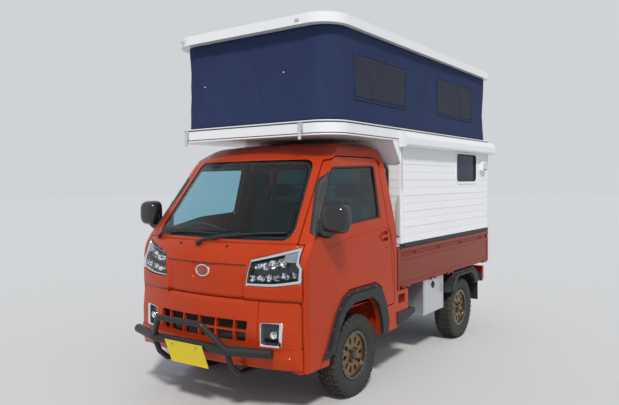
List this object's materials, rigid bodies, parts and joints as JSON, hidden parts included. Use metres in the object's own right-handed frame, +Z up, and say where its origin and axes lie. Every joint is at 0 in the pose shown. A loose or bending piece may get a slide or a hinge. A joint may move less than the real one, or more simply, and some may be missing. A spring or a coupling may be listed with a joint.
{
  "type": "kei truck with a pop-top camper body",
  "caption": "Small cab-over truck with drop-side bed, off-road tyres and bull bar, carrying a pop-top camper body with a fabric tent and lifting lid.",
  "frame": {"origin": "on the ground under the middle of the overall box", "axes": "+X is the vehicle's left, -Y its front, +Z up"},
  "size_m": [1.8616, 3.634, 2.555],
  "materials": {
    "body_paint": "gloss",
    "black_plastic": "matte",
    "black_metal": "satin",
    "glass": "gloss",
    "lamp_lens": "gloss",
    "red_lens": "gloss",
    "tyre_rubber": "matte",
    "bronze_alloy": "satin",
    "cast_iron": "matte",
    "steel": "satin",
    "aluminium": "satin",
    "white_siding": "satin",
    "white_plastic": "gloss",
    "navy_fabric": "matte",
    "seat_fabric": "matte",
    "plate_yellow": "satin",
    "interior_plastic": "matte"
  },
  "bodies": {
    "chassis": {"cab_nose": "body_paint", "cab_roof": "body_paint", "cab_back": "body_paint", "cab_sides": "body_paint", "cab_glass": "glass", "cab_floor": "body_paint", "front_bumper": "body_paint", "headlamps": "lamp_lens", "fog_lamps": "black_plastic", "radiator": "aluminium", "bull_bar": "black_metal", "number_plates": "plate_yellow", "wipers": "black_plastic", "dashboard": "interior_plastic", "steering_wheel": "interior_plastic", "seats": "seat_fabric", "seat_base": "interior_plastic", "frame": "black_metal", "engine": "cast_iron", "propshaft": "steel", "exhaust": "steel", "fuel_tank": "black_metal", "toolbox": "aluminium", "front_suspension": "black_metal", "rear_axle": "cast_iron", "leaf_springs": "black_metal", "over_fenders": "black_plastic", "bed_deck": "body_paint", "headboard": "body_paint", "guard_frame": "black_metal", "tail_lamps": "red_lens", "camper_walls": "white_siding", "camper_tub": "white_siding", "camper_rim": "white_plastic", "camper_tent": "navy_fabric", "camper_windows": "glass", "camper_awning": "white_plastic", "camper_brackets": "aluminium"},
    "door_left": {"door_left": "body_paint", "door_glass_left": "glass", "mirror_left": "black_plastic"},
    "door_right": {"door_right": "body_paint", "door_glass_right": "glass", "mirror_right": "black_plastic"},
    "gate_left": {"gate_left": "body_paint"},
    "gate_right": {"gate_right": "body_paint"},
    "tailgate": {"tailgate": "body_paint"},
    "knuckle_left": {"knuckle_left": "cast_iron"},
    "knuckle_right": {"knuckle_right": "cast_iron"},
    "wheel_front_left": {"tyre_front_left": "tyre_rubber", "rim_front_left": "bronze_alloy"},
    "wheel_front_right": {"tyre_front_right": "tyre_rubber", "rim_front_right": "bronze_alloy"},
    "wheel_rear_left": {"tyre_rear_left": "tyre_rubber", "rim_rear_left": "bronze_alloy"},
    "wheel_rear_right": {"tyre_rear_right": "tyre_rubber", "rim_rear_right": "bronze_alloy"},
    "camper_lid": {"camper_lid": "white_plastic"},
    "camper_door": {"camper_door": "white_siding"}
  },
  "joints": [
    {"name": "steer_left", "type": "hinge", "parent": "chassis", "child": "knuckle_left", "pos_m": [0.5888, -0.864, 0.278], "axis": [-0.1961, 0, 0.9806], "range_deg": [-32, 32]},
    {"name": "wheel_front_left_spin", "type": "hinge", "parent": "knuckle_left", "child": "wheel_front_left", "pos_m": [0.6525, -0.864, 0.278], "axis": [1, 0, 0], "continuous": true},
    {"name": "wheel_rear_left_spin", "type": "hinge", "parent": "chassis", "child": "wheel_rear_left", "pos_m": [0.6525, 1.036, 0.278], "axis": [1, 0, 0], "continuous": true},
    {"name": "door_left_swing", "type": "hinge", "parent": "chassis", "child": "door_left", "pos_m": [0.715, -1.447, 0.615], "axis": [0, 0, -1], "range_deg": [0, 65]},
    {"name": "gate_left_fold", "type": "hinge", "parent": "chassis", "child": "gate_left", "pos_m": [0.7445, 0.767, 0.65], "axis": [0, 1, 0], "range_deg": [0, 90]},
    {"name": "steer_right", "type": "hinge", "parent": "chassis", "child": "knuckle_right", "pos_m": [-0.5888, -0.864, 0.278], "axis": [0.1961, 0, 0.9806], "range_deg": [-32, 32]},
    {"name": "wheel_front_right_spin", "type": "hinge", "parent": "knuckle_right", "child": "wheel_front_right", "pos_m": [-0.6525, -0.864, 0.278], "axis": [1, 0, 0], "continuous": true},
    {"name": "wheel_rear_right_spin", "type": "hinge", "parent": "chassis", "child": "wheel_rear_right", "pos_m": [-0.6525, 1.036, 0.278], "axis": [1, 0, 0], "continuous": true},
    {"name": "door_right_swing", "type": "hinge", "parent": "chassis", "child": "door_right", "pos_m": [-0.715, -1.447, 0.615], "axis": [0, 0, 1], "range_deg": [0, 65]},
    {"name": "gate_right_fold", "type": "hinge", "parent": "chassis", "child": "gate_right", "pos_m": [-0.7445, 0.767, 0.65], "axis": [0, -1, 0], "range_deg": [0, 90]},
    {"name": "tailgate_fold", "type": "hinge", "parent": "chassis", "child": "tailgate", "pos_m": [0, 1.769, 0.65], "axis": [-1, 0, 0], "range_deg": [0, 90]},
    {"name": "camper_lid_lift", "type": "slide", "parent": "chassis", "child": "camper_lid", "axis": [0, 0, 1], "range_m": [-0.58, 0], "deforming": ["camper_tent"]},
    {"name": "camper_door_swing", "type": "hinge", "parent": "chassis", "child": "camper_door", "pos_m": [-0.296, 1.765, 1.37], "axis": [0, 0, 1], "range_deg": [0, 100]}
  ],
  "couplings": [
    {"joint": "steer_right", "follows": "steer_left", "ratio": 1}
  ]
}
